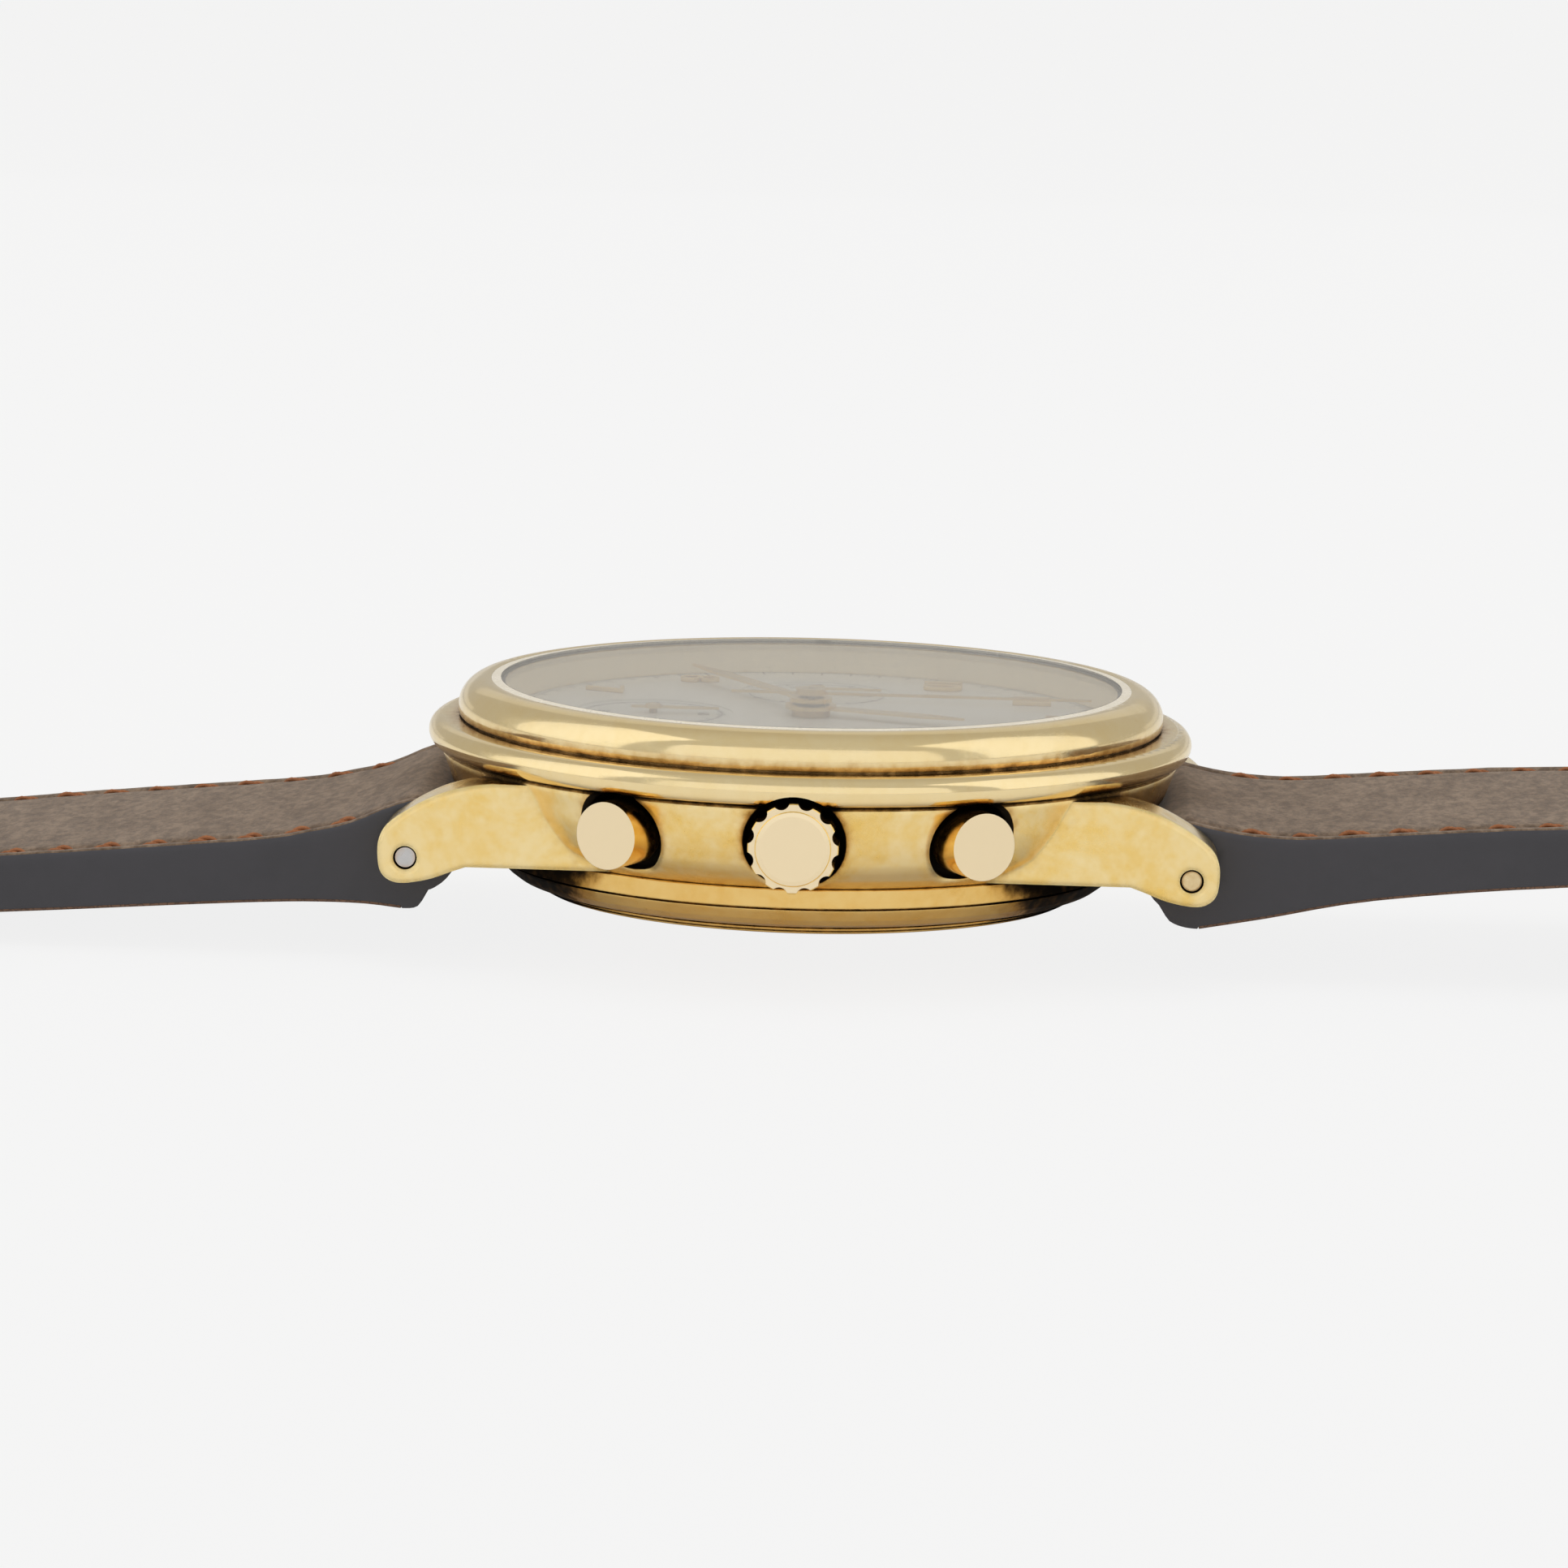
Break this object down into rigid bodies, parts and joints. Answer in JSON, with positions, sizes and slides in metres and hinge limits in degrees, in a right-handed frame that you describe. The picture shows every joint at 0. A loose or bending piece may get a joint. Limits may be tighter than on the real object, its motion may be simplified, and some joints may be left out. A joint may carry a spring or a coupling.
{
  "type": "chronograph wristwatch",
  "caption": "Round chronograph wristwatch: double-ring bezel, fluted crown between plunger pushers, straight lugs, stitched leather strap with pin buckle.",
  "frame": {"origin": "centre of the flat face of the case back", "axes": "+X to the crown at 3 o'clock, +Y to 12 o'clock along the strap, +Z out of the dial"},
  "size_m": [0.0383, 0.2382, 0.0127],
  "materials": {
    "gold": "polished yellow gold with fine scratches",
    "gold_trim": "bright polished gold",
    "rotor_gold": "brushed gold",
    "sapphire": "clear and flat",
    "gasket": "matt",
    "flange": "satin gold",
    "dial_silver": "silvered satin",
    "plate": "rhodium plated, circular graining",
    "steel": "fine brushed",
    "wheel_brass": "circular grained brass",
    "blued_steel": "heat blued",
    "ruby": "polished synthetic ruby",
    "strap_leather": "grey-brown nubuck with painted edges",
    "lining_leather": "smooth brown lining"
  },
  "bodies": {
    "case": {"case_middle": "gold", "bezel": "gold", "crystal": "sapphire", "crystal_gasket": "gasket", "flange_ring": "flange", "case_back": "gold", "case_back_gasket": "gasket", "case_tubes": "gold", "movement_ring": "wheel_brass", "dial": "dial_silver", "hour_markers": "gold_trim", "main_plate": "plate", "train_bridge": "plate", "bridge_screws": "blued_steel", "jewels": "ruby", "rotor_bearing": "steel", "spring_bar_12": "steel", "spring_bar_6": "steel"},
    "crown_slider": {"crown_gasket": "gasket"},
    "crown_body": {"crown": "gold", "winding_stem": "steel"},
    "winding_pinion_body": {"winding_pinion": "steel"},
    "crown_wheel_body": {"crown_wheel": "steel"},
    "ratchet_body": {"ratchet_wheel": "steel"},
    "start_pusher_body": {"start_pusher": "gold", "start_pusher_spring": "steel"},
    "reset_pusher_body": {"reset_pusher": "gold", "reset_pusher_spring": "steel"},
    "start_lever_body": {"start_lever": "steel"},
    "reset_lever_body": {"reset_lever": "steel"},
    "column_body": {"column_wheel": "steel"},
    "barrel_body": {"barrel_drum": "wheel_brass", "mainspring": "steel"},
    "minutes": {"centre_wheel": "wheel_brass", "cannon_pinion": "steel", "minute_hand": "gold_trim"},
    "minute_wheel_body": {"minute_wheel": "wheel_brass"},
    "hours": {"hour_wheel": "wheel_brass", "hour_hand": "gold_trim"},
    "third_body": {"third_wheel": "wheel_brass"},
    "seconds": {"fourth_wheel": "wheel_brass", "small_seconds_hand": "gold_trim"},
    "escape_body": {"escape_wheel": "wheel_brass"},
    "fork_body": {"pallet_fork": "steel"},
    "balance_body": {"balance_wheel": "wheel_brass", "hairspring": "blued_steel"},
    "chrono_seconds": {"chrono_wheel": "wheel_brass", "chrono_hand": "gold_trim"},
    "chrono_minutes": {"minute_counter_hand": "gold_trim"},
    "chrono_hours": {"hour_counter_hand": "gold_trim"},
    "rotor_body": {"rotor": "rotor_gold"},
    "strap_12_body": {"strap_12": "strap_leather", "lining_12": "lining_leather", "fixed_keeper": "strap_leather", "buckle_bar": "gold"},
    "strap_6_body": {"strap_6": "strap_leather", "lining_6": "lining_leather"},
    "free_keeper_body": {"free_keeper": "strap_leather"},
    "buckle_body": {"buckle_frame": "gold"},
    "tongue_body": {"buckle_tongue": "gold"}
  },
  "joints": [
    {"name": "crown_pull", "type": "slide", "parent": "case", "child": "crown_slider", "axis": [1, 0, 0], "range_m": [0, 0.0009]},
    {"name": "crown_turn", "type": "hinge", "parent": "crown_slider", "child": "crown_body", "pos_m": [0, 0, 0.00515], "axis": [1, 0, 0], "continuous": true},
    {"name": "winding_pinion_turn", "type": "hinge", "parent": "case", "child": "winding_pinion_body", "pos_m": [0, 0, 0.00515], "axis": [1, 0, 0], "continuous": true},
    {"name": "crown_wheel_turn", "type": "hinge", "parent": "case", "child": "crown_wheel_body", "pos_m": [0.0081, 0, 0.0035], "axis": [0, 0, 1], "continuous": true},
    {"name": "ratchet_turn", "type": "hinge", "parent": "case", "child": "ratchet_body", "pos_m": [0.00316, 0.00438, 0.0034], "axis": [0, 0, 1], "continuous": true},
    {"name": "start_press", "type": "slide", "parent": "case", "child": "start_pusher_body", "axis": [-0.8854, -0.4648, 0], "range_m": [0, 0.0007], "stiffness_N_per_m": 2500, "springref_m": -0.0003, "deforming": ["start_pusher_spring"]},
    {"name": "reset_press", "type": "slide", "parent": "case", "child": "reset_pusher_body", "axis": [-0.8854, 0.4648, 0], "range_m": [0, 0.0007], "stiffness_N_per_m": 2500, "springref_m": -0.0003, "deforming": ["reset_pusher_spring"]},
    {"name": "start_lever_turn", "type": "hinge", "parent": "case", "child": "start_lever_body", "pos_m": [0.00679, 0.01073, 0.0052], "axis": [0, 0, 1], "range_deg": [-7, 0]},
    {"name": "reset_lever_turn", "type": "hinge", "parent": "case", "child": "reset_lever_body", "pos_m": [0.00679, -0.01073, 0.0052], "axis": [0, 0, 1], "range_deg": [0, 7]},
    {"name": "column_turn", "type": "hinge", "parent": "case", "child": "column_body", "pos_m": [0.0091, 0.0047, 0.0042], "axis": [0, 0, 1], "range_deg": [0, 61]},
    {"name": "seconds_turn", "type": "hinge", "parent": "case", "child": "seconds", "pos_m": [0, -0.0079, 0.004], "axis": [0, 0, 1], "continuous": true},
    {"name": "third_turn", "type": "hinge", "parent": "case", "child": "third_body", "pos_m": [0.00131, -0.00431, 0.0043], "axis": [0, 0, 1], "continuous": true},
    {"name": "minutes_turn", "type": "hinge", "parent": "case", "child": "minutes", "pos_m": [0, 0, 0.005], "axis": [0, 0, 1], "continuous": true},
    {"name": "barrel_turn", "type": "hinge", "parent": "case", "child": "barrel_body", "pos_m": [0.00316, 0.00438, 0.0043], "axis": [0, 0, 1], "continuous": true},
    {"name": "escape_turn", "type": "hinge", "parent": "case", "child": "escape_body", "pos_m": [-0.00319, -0.00939, 0.0045], "axis": [0, 0, 1], "continuous": true},
    {"name": "minute_wheel_turn", "type": "hinge", "parent": "case", "child": "minute_wheel_body", "pos_m": [-0.00146, 0.00275, 0.0061], "axis": [0, 0, 1], "continuous": true},
    {"name": "hours_turn", "type": "hinge", "parent": "case", "child": "hours", "pos_m": [0, 0, 0.0065], "axis": [0, 0, 1], "continuous": true},
    {"name": "fork_rock", "type": "hinge", "parent": "case", "child": "fork_body", "pos_m": [-0.0054, -0.00774, 0.0048], "axis": [0, 0, 1], "range_deg": [-4, 4]},
    {"name": "balance_swing", "type": "hinge", "parent": "case", "child": "balance_body", "pos_m": [-0.00829, -0.00559, 0.004], "axis": [0, 0, 1], "range_deg": [-135, 135], "stiffness_Nm_per_rad": 0.00000006},
    {"name": "chrono_turn", "type": "hinge", "parent": "case", "child": "chrono_seconds", "pos_m": [0, 0, 0.005], "axis": [0, 0, 1], "continuous": true},
    {"name": "chrono_minutes_turn", "type": "hinge", "parent": "case", "child": "chrono_minutes", "pos_m": [0.0079, 0, 0.007], "axis": [0, 0, 1], "continuous": true},
    {"name": "chrono_hours_turn", "type": "hinge", "parent": "case", "child": "chrono_hours", "pos_m": [-0.0079, 0, 0.007], "axis": [0, 0, 1], "continuous": true},
    {"name": "rotor_turn", "type": "hinge", "parent": "case", "child": "rotor_body", "pos_m": [0, 0, 0.0017], "axis": [0, 0, 1], "continuous": true},
    {"name": "strap_12_swing", "type": "hinge", "parent": "case", "child": "strap_12_body", "pos_m": [0, 0.01893, 0.00307], "axis": [1, 0, 0], "range_deg": [-80, 0]},
    {"name": "strap_6_swing", "type": "hinge", "parent": "case", "child": "strap_6_body", "pos_m": [0, -0.01893, 0.00307], "axis": [1, 0, 0], "range_deg": [0, 80]},
    {"name": "keeper_slide", "type": "slide", "parent": "strap_12_body", "child": "free_keeper_body", "axis": [0, 0.9905, -0.1374], "range_m": [-0.002, 0.005]},
    {"name": "buckle_turn", "type": "hinge", "parent": "strap_12_body", "child": "buckle_body", "pos_m": [0, 0.09293, -0.0007], "axis": [1, 0, 0], "range_deg": [-90, 60]},
    {"name": "tongue_turn", "type": "hinge", "parent": "buckle_body", "child": "tongue_body", "pos_m": [0, 0.09293, -0.0007], "axis": [1, 0, 0], "range_deg": [0, 40]}
  ],
  "couplings": [
    {"joint": "winding_pinion_turn", "follows": "crown_turn", "ratio": 1},
    {"joint": "crown_wheel_turn", "follows": "crown_turn", "ratio": 0.4},
    {"joint": "ratchet_turn", "follows": "crown_turn", "ratio": -0.33333},
    {"joint": "start_lever_turn", "follows": "start_press", "rad_per_m": -157.48},
    {"joint": "reset_lever_turn", "follows": "reset_press", "rad_per_m": 157.48},
    {"joint": "column_turn", "follows": "start_press", "rad_per_m": 1496},
    {"joint": "third_turn", "follows": "seconds_turn", "ratio": -0.13333},
    {"joint": "minutes_turn", "follows": "seconds_turn", "ratio": 0.016667},
    {"joint": "barrel_turn", "follows": "seconds_turn", "ratio": -0.0025641},
    {"joint": "escape_turn", "follows": "seconds_turn", "ratio": -10},
    {"joint": "minute_wheel_turn", "follows": "seconds_turn", "ratio": -0.0055556},
    {"joint": "hours_turn", "follows": "seconds_turn", "ratio": 0.0013889},
    {"joint": "chrono_minutes_turn", "follows": "chrono_turn", "ratio": 0.033333},
    {"joint": "chrono_hours_turn", "follows": "chrono_turn", "ratio": 0.0013889}
  ]
}
